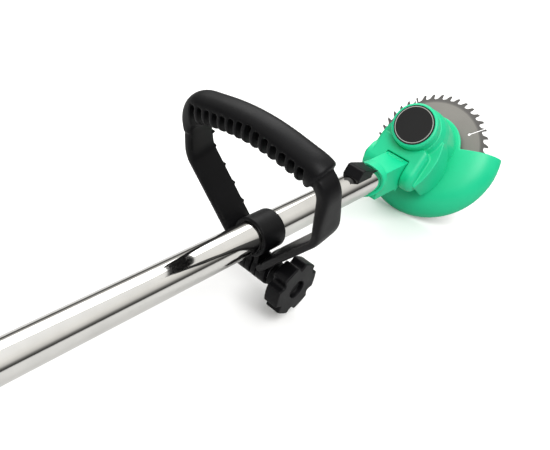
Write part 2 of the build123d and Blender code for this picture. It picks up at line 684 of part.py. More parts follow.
def clamp_knob():
    """Star knob: stem, flat-tipped lobes and a recess over the nut."""
    y1 = knob_start() - GAP
    y0 = y1 - KNOB_STEM
    body = along_y(KNOB_STEM_R, y0, y1)
    star = along_y(KNOB_R, y0 - KNOB_T, y0)
    for i in range(KNOB_LOBES):
        t = 2 * pi * (i + 0.5) / KNOB_LOBES
        star -= along_y(8.0, y0 - KNOB_T - 1, y0 + 1, 27.5 * cos(t), 27.5 * sin(t))
    star = chamfer(star.edges().filter_by_position(Axis.Y, y0 - KNOB_T - 0.01, y0 - KNOB_T + 0.01), 0.8)
    body += star
    face = y0 - KNOB_T
    body -= along_y(7.8, face - 1, face + 4.0)
    body -= Pos(0, face + 9.0, 0) * Rot(90, 0, 0) * extrude(RegularPolygon(5.0, 6, major_radius=False), 6.0)
    return BOLT * (body - along_y(BOLT_R + FIT, -60, 60))


def knob_nut():
    """Nut pressed into the knob."""
    face = knob_start() - GAP - KNOB_STEM - KNOB_T
    body = Pos(0, face + 9.0, 0) * Rot(90, 0, 0) * extrude(RegularPolygon(5.0, 6, major_radius=False), 5.0)
    return BOLT * (body - along_y(BOLT_R + FIT, -60, 60))


# ---------------------------------------------------------------- rear handle
def shell_outline(grow):
    """Side view of the rear housing."""
    points = [
        (NOSE_X, AXIS_Z - NOSE_R), (NOSE_X, AXIS_Z + NOSE_R), (196, AXIS_Z + NOSE_R + 4),
        (156, OPENING_HIGH + 8), (116, TOP_BAR + 4), (-8, TOP_BAR), (-46, TOP_BAR - 28),
        (SHELL_REAR, FOOT_BOTTOM), (FOOT_FRONT + 6, FOOT_BOTTOM),
        (96, AXIS_Z - NOSE_R - 2), (196, AXIS_Z - NOSE_R - 2),
    ]
    face = make_face(FilletPolyline(*points, radius=6.0, close=True))
    return offset(face, grow, kind=Kind.ARC) if grow else face


def opening_outline(grow):
    """Side view of the hand opening."""
    low, high = OPENING_LOW, OPENING_HIGH
    points = [(128, low + 3), (124, low + 22), (104, high + 2), (-4, high), (-22, high - 16), (-16, low)]
    face = make_face(FilletPolyline(*points, radius=8.0, close=True))
    return offset(face, grow, kind=Kind.ARC) if grow else face


def shell_solid(inset):
    """Housing without its foot, drawn in by inset on every side."""
    half = REAR_HALF - inset
    flat = Plane.XZ * (shell_outline(-inset) - opening_outline(inset))
    body = Pos(0, half, 0) * extrude(flat, 2 * half)
    rims = body.edges().filter_by_position(Axis.Y, -half - 0.01, -half + 0.01)
    rims += body.edges().filter_by_position(Axis.Y, half - 0.01, half + 0.01)
    return fillet(rims, REAR_ROUND - inset)


def screw_spots():
    low = FOOT_TOP + 2.0
    return [(176.0, AXIS_Z + 14), (146.0, low - 2), (-34.0, TOP_BAR - 38), (124.0, TOP_BAR - 10), (26.0, low)]


def rear_foot():
    """Broad foot that the battery slides under."""
    foot = slab(SHELL_REAR, FOOT_FRONT, -FOOT_HALF, FOOT_HALF, FOOT_BOTTOM, FOOT_TOP)
    return fillet(foot.edges().filter_by(Axis.Z) + foot.edges().sort_by(Axis.Z)[-4:], 5.0)


def rear_space():
    """Everything that is hollow inside the closed housing."""
    space = shell_solid(REAR_WALL)
    space -= slab(SHELL_REAR - 20, FOOT_FRONT + 6, -50, 50, 0, FOOT_BOTTOM + 9.5)
    space -= slab(NOSE_X - NOSE_LEN, NOSE_X + 20, -50, 50, 0, 2 * TOP_BAR)
    for x, z in screw_spots():
        space -= along_y(4.2, -30, 30, x, z)
    space += along_x(SHAFT_R + FIT, NOSE_X - NOSE_LEN - 3, NOSE_X + 5, 0, AXIS_Z)
    # battery rails and the latch notch, open to the rear
    neck, flange = BATTERY_H, BATTERY_H + RAIL_NECK_H
    stop = RAIL_FRONT + RAIL_STOP
    space += slab(SHELL_REAR - 10, stop, -RAIL_NECK - GAP, RAIL_NECK + GAP, neck, flange)
    wide = RAIL_HALF + GAP
    space += slab(SHELL_REAR - 10, stop, -wide, wide, flange - GAP, flange + RAIL_T + GAP)
    space += block_size(FIT)
    # trigger slot and lock button slot
    half = TRIGGER_W / 2 + GAP
    space += slab(62, 114, -half, half, OPENING_HIGH - 14, OPENING_HIGH + 12)
    space += slab(43.7, 60.3, -4.8, 4.8, TOP_BAR - 8, TOP_BAR + 16)
    return space


def block_size(grow):
    """Body of the terminal block, and with a fit added, its seat in the foot."""
    low = BATTERY_H + 1.5
    x0 = RAIL_FRONT + RAIL_STOP
    return slab(x0 - grow, FOOT_FRONT - 1.6 + grow, -14 - grow, 14 + grow, low - grow, low + 8.5 + grow)


def grip_pad():
    """Soft skin moulded round the middle of the grip bar."""
    skin = shell_solid(0) - shell_solid(1.5)
    return skin & slab(-14, 38, -40, 40, OPENING_HIGH - 12, TOP_BAR + 26)


def rear_shell(side, hollow, pad):
    body = shell_solid(0) + rear_foot() - hollow - pad
    y0, y1 = sorted((0, side * 60))
    body = body & slab(2 * SHELL_REAR, NOSE_X + 20, y0, y1, 0, 2 * TOP_BAR)
    for x, z in screw_spots():
        if side > 0:
            body -= along_y(SCREW_R + FIT, -1, 60, x, z)
            body -= along_y(SCREW_HEAD_R + FIT, REAR_HALF - 6.0, 60, x, z)
        else:
            body -= along_y(SCREW_R, -14.0, 1, x, z)
    return body - along_y(PIVOT_R + FIT, -9.0, 9.0, PIVOT_X, PIVOT_Z)


def rear_screws():
    group = []
    for x, z in screw_spots():
        group.append(screw_y(x, z, REAR_HALF - 4.0, 28.0, -1))
    return Compound(children=group)


def trigger():
    """Finger trigger hung on a cross pin; it swings up into the grip."""
    x, z = PIVOT_X, PIVOT_Z
    outline = [
        (x + 5, z + 1), (x + 2, z + 4), (x - 28, z + 1), (x - 36, z - 5), (x - 38, z - 13),
        (x - 34, z - 19), (x - 20, z - 21), (x - 4, z - 16), (x + 5, z - 7),
    ]
    body = side_plate(outline, -TRIGGER_W / 2, TRIGGER_W / 2)
    return body - along_y(PIVOT_R + FIT, -20, 20, x, z)


def trigger_pin():
    return along_y(PIVOT_R, -8.8, 8.8, PIVOT_X, PIVOT_Z)


def trigger_spring():
    return Pos(PIVOT_X - 22, 0, PIVOT_Z + 6.3) * coil(2.4, 0.4, 3, 2.4)


def power_switch():
    """Trigger switch with its plunger and two tabs."""
    low = PIVOT_Z + 10.2
    body = slab(72, 92, -5, 5, low, low + 8)
    return body + slab(78, 86, -3.4, 3.4, low - 0.6, low)


def lock_button():
    """Thumb button on top of the grip that frees the trigger."""
    low = TOP_BAR - 6
    stem = slab(44, 60, -4.5, 4.5, low, TOP_BAR + 6)
    stem = fillet(stem.edges().filter_by(Axis.Z) + stem.edges().group_by(Axis.Z)[-1], 1.5)
    return stem + slab(42, 62, -7, 7, low - 1.5, low + 1)


def lock_spring():
    return Pos(52, 0, TOP_BAR - 14.5) * coil(3.2, 0.4, 3, 3.0)


def control_board():
    """Soft-start board over the foot."""
    low = FOOT_BOTTOM + 12.7
    top = low + 1.6
    board = slab(-30, 18, -15, 15, low, top)
    return board + slab(-20, -8, -9, 3, top, top + 4.9) + slab(2, 10, -6, 6, top, top + 3.4)


def terminal_block():
    """Contact block at the front of the rails with three blades."""
    body = block_size(0)
    for y in BLADE_TABS:
        body += slab(RAIL_FRONT - 9, RAIL_FRONT + 1, y - 0.4, y + 0.4, BATTERY_H + 2.2, BATTERY_H + 5.6)
    return body


def strap_eye():
    """Band on the shaft with an eye for the shoulder strap."""
    z = AXIS_Z + SHAFT_R
    body = along_x(SHAFT_R + 3, EYE_X - 7, EYE_X + 7, 0, AXIS_Z)
    lug = slab(EYE_X - 9, EYE_X + 9, -3, 3, AXIS_Z + 10, z + 19)
    body += fillet(lug.edges().filter_by(Axis.Y).group_by(Axis.Z)[-1], 7.0)
    body -= along_y(EYE_R, -10, 10, EYE_X, z + 10)
    return body - along_x(SHAFT_R + FIT, EYE_X - 20, EYE_X + 20, 0, AXIS_Z)


# ---------------------------------------------------------------- battery
def battery_box(z0, z1, inset=0.0):
    x = BATTERY_L / 2 - inset
    y = BATTERY_W / 2 - inset
    return fillet(slab(-x, x, -y, y, z0, z1).edges().filter_by(Axis.Z), 6.0 - inset)


def latch_room(gap):
    """Pocket for the latch, rear end of the pack."""
    x0, x1 = LATCH_REAR - gap, LATCH_REAR + LATCH_LEN + gap
    return slab(x0, x1, -12 - gap, 12 + gap, BATTERY_H - 14, BATTERY_H + 16)


def battery_top():
    """Upper half of the case, with the slide rail and the latch pocket."""
    seam = BATTERY_H / 2
    flange = BATTERY_H + RAIL_NECK_H
    body = battery_box(seam, BATTERY_H)
    body = chamfer(body.edges().group_by(Axis.Z)[-1], 1.2)
    body += slab(RAIL_REAR, RAIL_FRONT, -RAIL_NECK, RAIL_NECK, BATTERY_H - 1, flange)
    body += slab(RAIL_REAR, RAIL_FRONT, -RAIL_HALF, RAIL_HALF, flange, flange + RAIL_T)
    inside = battery_box(seam - 1, BATTERY_H - BATTERY_WALL, BATTERY_WALL)
    inside -= slab(2 * BATTERY_REAR, LATCH_REAR + LATCH_LEN + 2.3, -15, 15, seam, BATTERY_H)
    body -= inside
    for y in BLADE_TABS:
        body -= slab(RAIL_FRONT - 12, RAIL_FRONT + 1, y - 0.8, y + 0.8, BATTERY_H + 1.4, BATTERY_H + 16)
    return body - latch_room(GAP)


def battery_base():
    """Lower half of the case: the flat that the tool stands on."""
    seam = BATTERY_H / 2
    body = battery_box(0, seam)
    body = chamfer(body.edges().group_by(Axis.Z)[0], 1.2)
    return body - battery_box(BATTERY_WALL, seam + 1, BATTERY_WALL)


def battery_cells():
    """Two rows of round cells lying across the pack."""
    group = []
    first = LATCH_REAR + LATCH_LEN + 2.7 + CELL_R
    for row in range(2):
        for i in range(CELLS):
            x = first + i * CELL_PITCH
            z = BATTERY_WALL + 0.2 + CELL_R + row * CELL_PITCH
            group.append(along_y(CELL_R, -CELL_LEN / 2, CELL_LEN / 2, x, z))
    return Compound(children=group)


def battery_latch():
    x0, x1 = LATCH_REAR, LATCH_REAR + LATCH_LEN
    step = x0 + 6.5
    body = slab(x0, x1, -12, 12, BATTERY_H - 5, BATTERY_H + 0.2)
    body += slab(x0, step, -12, 12, BATTERY_H, BATTERY_H + 5)
    body += slab(step, x1, -10, 10, BATTERY_H, BATTERY_H + 2.6)
    for i in range(3):
        y = -6 + 6 * i
        body -= slab(x0 - 1, step, y - 0.7, y + 0.7, BATTERY_H + 4.2, BATTERY_H + 6)
    return body


def latch_spring():
    return Pos(LATCH_REAR + LATCH_LEN / 2, 0, BATTERY_H - 13.4) * coil(3.6, 0.5, 3, 2.4)


# ---------------------------------------------------------------- write the nodes
hollow = rear_space()
pad = grip_pad()
blade_top = BLADE_T / 2

on_head = {
    "blade": blade(),
    "spindle": spindle(),
    "inner_flange": blade_flange(blade_top, blade_top + FLANGE_T, blade_top),
    "outer_flange": blade_flange(-blade_top - FLANGE_T, -blade_top, -blade_top),
    "blade_nut": blade_nut(),
    "lower_bearing": bearing(LOWER_BEARING, SPINDLE_R + FIT, MOTOR_BASE - LOWER_BEARING[1]),
    "upper_bearing": bearing(UPPER_BEARING, SPINDLE_TOP_R + FIT, MOTOR_BASE + MOTOR_LEN - MOTOR_WALL),
    "motor_can": motor_can(),
    "motor_magnets": motor_magnets(),
    "armature": armature(),
    "commutator": commutator(),
    "motor_brushes": motor_brushes(),
    "motor_mount": motor_mount(),
    "head_shell": head_shell(),
    "motor_cap": motor_cap(),
    "badge": badge(),
    "badge_ring": badge_ring(),
    "guard": guard(),
    "guard_screws": guard_screws(),
    "hinge_pin": hinge_pin(),
    "tilt_button": tilt_button(),
}
for name, shape in on_head.items():
    save(name, HEAD * shape)

save("tilt_spring", tilt_spring())
save("hinge_block", hinge_block())
save("block_screws", block_screws())
save("shaft_catch", shaft_catch())
save("shaft_tube", shaft_tube())
save("wire_loom", wire_loom())
save("clamp_ring", clamp_ring())
save("front_handle", front_handle())
save("handle_grip", handle_grip())
save("clamp_bolt", clamp_bolt())
save("bolt_washer", bolt_washer())
save("clamp_knob", clamp_knob())
save("knob_nut", knob_nut())
save("rear_shell_left", rear_shell(1, hollow, pad))
save("rear_shell_right", rear_shell(-1, hollow, pad))
save("rear_screws", rear_screws())
save("grip_pad", pad)
save("trigger", trigger())
save("trigger_pin", trigger_pin())
save("trigger_spring", trigger_spring())
save("power_switch", power_switch())
save("lock_button", lock_button())
save("lock_spring", lock_spring())
save("control_board", control_board())
save("terminal_block", terminal_block())
save("strap_eye", strap_eye())
save("battery_top", battery_top())
save("battery_base", battery_base())
save("battery_cells", battery_cells())
save("battery_latch", battery_latch())
save("latch_spring", latch_spring())
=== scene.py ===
import json
from math import asin, atan2, copysign, cos, hypot, pi, radians, sin, sqrt, tan

import bmesh
import bpy
from mathutils import Matrix, Vector

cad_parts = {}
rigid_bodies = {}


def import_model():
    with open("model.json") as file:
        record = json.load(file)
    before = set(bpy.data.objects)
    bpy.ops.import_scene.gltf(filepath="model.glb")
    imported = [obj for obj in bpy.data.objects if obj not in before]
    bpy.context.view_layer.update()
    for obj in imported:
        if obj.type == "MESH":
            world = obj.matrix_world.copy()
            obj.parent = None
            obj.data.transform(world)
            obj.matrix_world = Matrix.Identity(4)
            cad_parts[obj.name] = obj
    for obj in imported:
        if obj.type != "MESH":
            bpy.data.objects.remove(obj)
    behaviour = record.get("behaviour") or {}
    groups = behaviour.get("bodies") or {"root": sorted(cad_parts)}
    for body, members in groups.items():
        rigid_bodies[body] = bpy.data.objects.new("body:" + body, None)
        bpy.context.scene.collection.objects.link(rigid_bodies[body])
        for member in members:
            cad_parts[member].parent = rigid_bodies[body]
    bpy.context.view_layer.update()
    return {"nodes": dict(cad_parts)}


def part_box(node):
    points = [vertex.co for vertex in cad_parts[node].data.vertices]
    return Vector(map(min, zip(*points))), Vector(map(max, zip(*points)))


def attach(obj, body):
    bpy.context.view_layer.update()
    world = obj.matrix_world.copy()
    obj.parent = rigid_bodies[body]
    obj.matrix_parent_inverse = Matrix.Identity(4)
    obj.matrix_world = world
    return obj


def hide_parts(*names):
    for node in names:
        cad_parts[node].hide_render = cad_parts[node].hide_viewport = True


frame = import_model()
MM = 0.001

# ---------------------------------------------------------------- camera
# Stands behind and to the right of the shaft at shoulder height, looking down it to the blade.
lens = bpy.data.cameras.new("camera")
lens.sensor_width = 36
lens.lens = 43.33
lens.clip_start = 0.01
viewer = bpy.data.objects.new("camera", lens)
bpy.context.scene.collection.objects.link(viewer)
rightward = Vector((0.65595, -0.728432, 0.19778))
upward = Vector((0.325217, 0.509208, 0.796832))
backward = Vector((-0.681149, -0.45836, 0.570914))
stand = Matrix((rightward, upward, backward)).transposed().to_4x4()
viewer.matrix_world = Matrix.Translation((0.2580, -0.2356, 0.3574)) @ stand
bpy.context.scene.camera = viewer

# ---------------------------------------------------------------- studio
# A pale floor, a white tent of light that darkens towards the horizon, and two soft boxes.
bpy.context.scene.view_settings.view_transform = "Standard"
tent = bpy.data.worlds.new("tent")
bpy.context.scene.world = tent
tent.use_nodes = True
nodes, links = tent.node_tree.nodes, tent.node_tree.links
height = nodes.new("ShaderNodeSeparateXYZ")
links.new(nodes.new("ShaderNodeTexCoord").outputs["Generated"], height.inputs[0])
horizon = nodes.new("ShaderNodeValToRGB")
links.new(height.outputs["Z"], horizon.inputs["Fac"])
horizon.color_ramp.elements[0].color = (0.80, 0.80, 0.80, 1)
horizon.color_ramp.elements[1].color = (1.0, 1.0, 1.0, 1)
for place, tone in ((0.0, 0.10), (0.10, 0.05), (0.22, 0.16), (0.40, 0.62), (0.62, 0.86)):
    stop = horizon.color_ramp.elements.new(place)
    stop.color = (tone, tone * 0.985, tone * 0.95, 1)
plain = nodes.new("ShaderNodeMixRGB")
plain.inputs["Color2"].default_value = (0.93, 0.93, 0.93, 1)
links.new(nodes.new("ShaderNodeLightPath").outputs["Is Camera Ray"], plain.inputs["Fac"])
links.new(horizon.outputs["Color"], plain.inputs["Color1"])
links.new(plain.outputs["Color"], nodes["Background"].inputs["Color"])

for name, spot, size, power in (
    ("key_box", (0.10, -0.90, 1.60), 1.2, 26),
    ("fill_box", (1.30, 0.90, 1.50), 1.4, 16),
):
    box = bpy.data.lights.new(name, "AREA")
    box.size = size
    box.energy = power
    holder = bpy.data.objects.new(name, box)
    bpy.context.scene.collection.objects.link(holder)
    holder.location = spot
    aim = Vector((0.70, 0.0, 0.05)) - Vector(spot)
    holder.rotation_euler = aim.to_track_quat("-Z", "Y").to_euler()

floor_mesh = bpy.data.meshes.new("floor")
reach_out = 8.0
corners = [(x * reach_out, y * reach_out, 0) for x, y in ((-1, -1), (1, -1), (1, 1), (-1, 1))]
floor_mesh.from_pydata(corners, [], [(0, 1, 2, 3)])
ground = bpy.data.objects.new("floor", floor_mesh)
bpy.context.scene.collection.objects.link(ground)
pale = bpy.data.materials.new("pale_floor")
pale.use_nodes = True
nodes, links = pale.node_tree.nodes, pale.node_tree.links
nodes["Principled BSDF"].inputs["Roughness"].default_value = 0.8
nodes["Principled BSDF"].inputs["Specular IOR Level"].default_value = 0.1
sweep_tone = nodes.new("ShaderNodeMixRGB")
sweep_tone.inputs["Color1"].default_value = (0.50, 0.50, 0.50, 1)
sweep_tone.inputs["Color2"].default_value = (0.94, 0.94, 0.94, 1)
links.new(nodes.new("ShaderNodeLightPath").outputs["Is Camera Ray"], sweep_tone.inputs["Fac"])
links.new(sweep_tone.outputs["Color"], nodes["Principled BSDF"].inputs["Base Color"])
floor_mesh.materials.append(pale)


# ---------------------------------------------------------------- shaft tube
# Drawn steel tube, polished and chromed, pushed into the hinge block and the rear housing.
# The finish is a mirror with a faint drawn streak and a little haze.
def new_piece(name, verts, faces, body, material, stands_for=(), round_angle=40):
    """Mesh from points in metres that rides on a body and stands for CAD nodes."""
    mesh = bpy.data.meshes.new(name)
    mesh.from_pydata([tuple(v) for v in verts], [], faces)
    mesh.validate()
    return adopt(bpy.data.objects.new(name, mesh), body, material, stands_for, round_angle)


def adopt(piece, body, material, stands_for=(), round_angle=40):
    """Links a finished mesh object, gives it its material and ties it to the frame."""
    if piece.name not in bpy.context.scene.collection.objects:
        bpy.context.scene.collection.objects.link(piece)
    piece.data.materials.clear()
    piece.data.materials.append(material)
    edges = bmesh.new()
    edges.from_mesh(piece.data)
    bmesh.ops.recalc_face_normals(edges, faces=edges.faces)
    for edge in edges.edges:
        edge.smooth = len(edge.link_faces) == 2 and edge.calc_face_angle(0) < radians(round_angle)
    for face in edges.faces:
        face.smooth = True
    edges.to_mesh(piece.data)
    edges.free()
    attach(piece, body)
    if stands_for:
        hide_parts(*stands_for)
    return piece


def turned(outline, steps=96, place=Matrix.Identity(4)):
    """Closed outline of (radius, height) pairs in millimetres, turned round Z and put in place."""
    verts, faces = [], []
    count = len(outline)
    for i in range(steps):
        a = 2 * pi * i / steps
        for radius, height in outline:
            verts.append(place @ (Vector((radius * cos(a), radius * sin(a), height)) * MM))
        for j in range(count):
            k = (j + 1) % count
            m = (i + 1) % steps
            faces.append((i * count + j, m * count + j, m * count + k, i * count + k))
    return verts, faces


def along_shaft(x):
    """Frame whose Z runs along the shaft's axis, from a point x forward."""
    return Matrix.Translation((x, 0, SHAFT_Z)) @ Matrix.Rotation(pi / 2, 4, "Y")


def surface(name, **constants):
    """Material with a Principled shader whose plain values sit on its own sockets."""
    made = bpy.data.materials.new(name)
    made.use_nodes = True
    shader = made.node_tree.nodes["Principled BSDF"]
    for label, value in constants.items():
        shader.inputs[label.replace("_", " ")].default_value = value
    return made, made.node_tree, shader


def add(tree, kind, **settings):
    """Shader node with its plain inputs and properties set."""
    node = tree.nodes.new(kind)
    for label, value in settings.items():
        key = label.replace("_", " ")
        if key in node.inputs:
            node.inputs[key].default_value = value
        else:
            setattr(node, label, value)
    return node


def group(name, numbers, colours=(), gives=("Color", "Roughness", "Normal")):
    """Empty shader node group with named inputs and its two end nodes."""
    tree = bpy.data.node_groups.new(name, "ShaderNodeTree")
    for label in colours:
        tree.interface.new_socket(label, in_out="INPUT", socket_type="NodeSocketColor")
    for label, value in numbers.items():
        socket = tree.interface.new_socket(label, in_out="INPUT", socket_type="NodeSocketFloat")
        socket.default_value = value
    kinds = {"Color": "NodeSocketColor", "Normal": "NodeSocketVector"}
    for label in gives:
        tree.interface.new_socket(label, in_out="OUTPUT", socket_type=kinds.get(label, "NodeSocketFloat"))
    return tree, tree.nodes.new("NodeGroupInput"), tree.nodes.new("NodeGroupOutput")


def polish_group():
    """Polished or turned metal: haze in patches, and a fine streak along one axis."""
    numbers = {"Roughness": 0.1, "Haze": 0.05, "Streak": 0.3}
    numbers.update({"Stretch X": 30, "Stretch Y": 900, "Stretch Z": 900})
    tree, start, end = group("polished_metal", numbers, ("Color",))
    link = tree.links.new
    where = add(tree, "ShaderNodeTexCoord").outputs["Object"]
    scale = add(tree, "ShaderNodeCombineXYZ")
    for axis in "XYZ":
        link(start.outputs["Stretch " + axis], scale.inputs[axis])
    spread = add(tree, "ShaderNodeVectorMath", operation="MULTIPLY")
    link(where, spread.inputs[0])
    link(scale.outputs[0], spread.inputs[1])
    streak = add(tree, "ShaderNodeTexNoise", Scale=1.0, Detail=3.0)
    link(spread.outputs[0], streak.inputs["Vector"])
    patch = add(tree, "ShaderNodeTexNoise", Scale=45.0, Detail=4.0)
    link(where, patch.inputs["Vector"])
    shift = add(tree, "ShaderNodeMath", operation="SUBTRACT")
    shift.inputs[1].default_value = 0.5
    link(patch.outputs["Fac"], shift.inputs[0])
    haze = add(tree, "ShaderNodeMath", operation="MULTIPLY_ADD")
    link(shift.outputs[0], haze.inputs[0])
    link(start.outputs["Haze"], haze.inputs[1])
    link(start.outputs["Roughness"], haze.inputs[2])
    link(haze.outputs[0], end.inputs["Roughness"])
    tone = add(tree, "ShaderNodeMapRange")
    tone.inputs["From Min"].default_value = 0.3
    tone.inputs["From Max"].default_value = 0.7
    tone.inputs["To Min"].default_value = 0.93
    tone.inputs["To Max"].default_value = 1.04
    link(patch.outputs["Fac"], tone.inputs["Value"])
    tint = add(tree, "ShaderNodeVectorMath", operation="SCALE")
    link(start.outputs["Color"], tint.inputs[0])
    link(tone.outputs[0], tint.inputs["Scale"])
    link(tint.outputs[0], end.inputs["Color"])
    relief = add(tree, "ShaderNodeBump", Distance=0.00004)
    link(start.outputs["Streak"], relief.inputs["Strength"])
    link(streak.outputs["Fac"], relief.inputs["Height"])
    link(relief.outputs[0], end.inputs["Normal"])
    return tree


POLISH = polish_group()


def metal(name, color, **values):
    """Metal finish from the polish group."""
    made, tree, shader = surface(name, Metallic=1.0)
    finish = add(tree, "ShaderNodeGroup", node_tree=POLISH)
    finish.inputs["Color"].default_value = (*color, 1)
    for label, value in values.items():
        finish.inputs[label.replace("_", " ")].default_value = value
    tree.links.new(finish.outputs["Color"], shader.inputs["Base Color"])
    tree.links.new(finish.outputs["Roughness"], shader.inputs["Roughness"])
    tree.links.new(finish.outputs["Normal"], shader.inputs["Normal"])
    return made


SHAFT_R = 12.5
SHAFT_Z = (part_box("shaft_tube")[0].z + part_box("shaft_tube")[1].z) / 2
chrome = metal("chrome_tube", (0.83, 0.82, 0.79), Roughness=0.075, Haze=0.05, Streak=0.12, Stretch_X=14.0)
x0, x1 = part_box("shaft_tube")[0].x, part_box("shaft_tube")[1].x
length = (x1 - x0) / MM
tube_wall, bevel, spans = 1.2, 0.3, 12
outline = [(SHAFT_R - tube_wall, bevel), (SHAFT_R - bevel, 0.0), (SHAFT_R, bevel)]
outline += [(SHAFT_R, length * i / spans) for i in range(1, spans)]
outline += [(SHAFT_R, length - bevel), (SHAFT_R - bevel, length), (SHAFT_R - tube_wall, length - bevel)]
verts, faces = turned(outline, 128, along_shaft(x0))
new_piece("shaft_tube_chrome", verts, faces, "shaft", chrome, ["shaft_tube"])

# ---------------------------------------------------------------- D-handle
# One glass-filled nylon moulding: a flat band for legs, thickening into a round hand bar.
# Deep finger slots are moulded into the back of the bar, and run on round its corners.
def moulded_group():
    """Moulded plastic: cloudy tone, spark-eroded grain, and a painted highlight that makes sharp edges
    paler.
    """
    numbers = {"Cloud": 0.15, "Grain Size": 1500, "Grain Depth": 0.15, "Roughness": 0.45, "Edge": 0.3}
    tree, start, end = group("moulded_plastic", numbers, ("Color", "Edge Color"))
    link = tree.links.new
    where = add(tree, "ShaderNodeTexCoord").outputs["Object"]
    cloud = add(tree, "ShaderNodeTexNoise", Scale=55.0, Detail=5.0, Roughness=0.6)
    link(where, cloud.inputs["Vector"])
    centred = add(tree, "ShaderNodeMath", operation="SUBTRACT")
    centred.inputs[1].default_value = 0.5
    link(cloud.outputs["Fac"], centred.inputs[0])
    gain = add(tree, "ShaderNodeMath", operation="MULTIPLY_ADD")
    link(centred.outputs[0], gain.inputs[0])
    link(start.outputs["Cloud"], gain.inputs[1])
    gain.inputs[2].default_value = 1.0
    tint = add(tree, "ShaderNodeVectorMath", operation="SCALE")
    link(start.outputs["Color"], tint.inputs[0])
    link(gain.outputs[0], tint.inputs["Scale"])
    # Pointiness picks out sharp convex edges, which get the paler Edge Color as a painted highlight.
    sharp = add(tree, "ShaderNodeMapRange")
    sharp.inputs["From Min"].default_value = 0.53
    sharp.inputs["From Max"].default_value = 0.62
    link(add(tree, "ShaderNodeNewGeometry").outputs["Pointiness"], sharp.inputs["Value"])
    painted_highlight_mask = add(tree, "ShaderNodeMath", operation="MULTIPLY")
    link(sharp.outputs[0], painted_highlight_mask.inputs[0])
    link(start.outputs["Edge"], painted_highlight_mask.inputs[1])
    mix = add(tree, "ShaderNodeMixRGB")
    link(painted_highlight_mask.outputs[0], mix.inputs["Fac"])
    link(tint.outputs[0], mix.inputs["Color1"])
    link(start.outputs["Edge Color"], mix.inputs["Color2"])
    link(mix.outputs[0], end.inputs["Color"])
    rough = add(tree, "ShaderNodeMath", operation="MULTIPLY_ADD")
    link(centred.outputs[0], rough.inputs[0])
    rough.inputs[1].default_value = 0.22
    link(start.outputs["Roughness"], rough.inputs[2])
    link(rough.outputs[0], end.inputs["Roughness"])
    grain = add(tree, "ShaderNodeTexNoise", Detail=2.0)
    link(where, grain.inputs["Vector"])
    link(start.outputs["Grain Size"], grain.inputs["Scale"])
    relief = add(tree, "ShaderNodeBump", Distance=0.00012)
    link(start.outputs["Grain Depth"], relief.inputs["Strength"])
    link(grain.outputs["Fac"], relief.inputs["Height"])
    link(relief.outputs[0], end.inputs["Normal"])
    return tree


MOULDED = moulded_group()


def plastic(name, color, highlight_color, values, **constants):
    """Moulded plastic finish, with a paler colour painted on its sharp edges as a highlight."""
    made, tree, shader = surface(name, **constants)
    finish = add(tree, "ShaderNodeGroup", node_tree=MOULDED)
    finish.inputs["Color"].default_value = (*color, 1)
    finish.inputs["Edge Color"].default_value = (*highlight_color, 1)
    for label, value in values.items():
        finish.inputs[label].default_value = value
    tree.links.new(finish.outputs["Color"], shader.inputs["Base Color"])
    tree.links.new(finish.outputs["Roughness"], shader.inputs["Roughness"])
    tree.links.new(finish.outputs["Normal"], shader.inputs["Normal"])
    return made


def apply_all(piece):
    """Turns a piece's modifiers into plain mesh."""
    scene = bpy.context.scene.collection.objects
    if piece.name not in scene:
        scene.link(piece)
    depth = bpy.context.evaluated_depsgraph_get()
    mesh = bpy.data.meshes.new_from_object(piece.evaluated_get(depth))
    old = piece.data
    piece.modifiers.clear()
    piece.data = mesh
    bpy.data.meshes.remove(old)
    return piece


def solid(name, verts, faces):
    """Closed mesh object from points in metres, with its faces turned outwards."""
    mesh = bpy.data.meshes.new(name)
    mesh.from_pydata([tuple(v) for v in verts], [], faces)
    edges = bmesh.new()
    edges.from_mesh(mesh)
    bmesh.ops.recalc_face_normals(edges, faces=edges.faces)
    edges.to_mesh(mesh)
    edges.free()
    piece = bpy.data.objects.new(name, mesh)
    bpy.context.scene.collection.objects.link(piece)
    return piece


def cut(piece, tools):
    """Cuts tools out of a piece and throws the tools away."""
    for tool in tools:
        step = piece.modifiers.new("cut", "BOOLEAN")
        step.object = tool
        step.operation = "DIFFERENCE"
        step.solver = "EXACT"
    apply_all(piece)
    for tool in tools:
        bpy.data.objects.remove(tool)
    return piece


def soften(piece, voxel, passes, keep=1.0):
    """Melts corners and joins into moulded fillets a voxel or two wide."""
    melt = piece.modifiers.new("melt", "REMESH")
    melt.mode = "VOXEL"
    melt.voxel_size = voxel * MM
    relax = piece.modifiers.new("relax", "SMOOTH")
    relax.factor = 0.5
    relax.iterations = passes
    if keep < 1.0:
        thin = piece.modifiers.new("thin", "DECIMATE")
        thin.ratio = keep
    return apply_all(piece)


def prism(name, outline, z0, z1, place):
    """Outline of (x, y) pairs in millimetres, raised from z0 to z1 and put in place."""
    count = len(outline)
    verts = [place @ (Vector((x, y, z)) * MM) for z in (z0, z1) for x, y in outline]
    faces = [tuple(range(count)), tuple(range(count, 2 * count))]
    faces += [(i, (i + 1) % count, count + (i + 1) % count, count + i) for i in range(count)]
    return solid(name, verts, faces)


def rounded_path(points, radii, steps=9):
    """Open run of points with its inner corners rounded by arcs."""
    path = [Vector(points[0])]
    for before, corner, after, radius in zip(points, points[1:], points[2:], radii):
        b, c, a = Vector(before), Vector(corner), Vector(after)
        u, v = (b - c).normalized(), (a - c).normalized()
        half = acos_safe(u.dot(v)) / 2
        reach = radius / tan(half)
        centre = c + (u + v).normalized() * (radius / sin(half))
        p, q = c + u * reach - centre, c + v * reach - centre
        turn = acos_safe(p.normalized().dot(q.normalized()))
        for i in range(steps + 1):
            t = i / steps
            path.append(centre + (p * sin((1 - t) * turn) + q * sin(t * turn)) / sin(turn))
    path.append(Vector(points[-1]))
    return path


def acos_safe(value):
    return pi / 2 - asin(max(-1.0, min(1.0, value)))


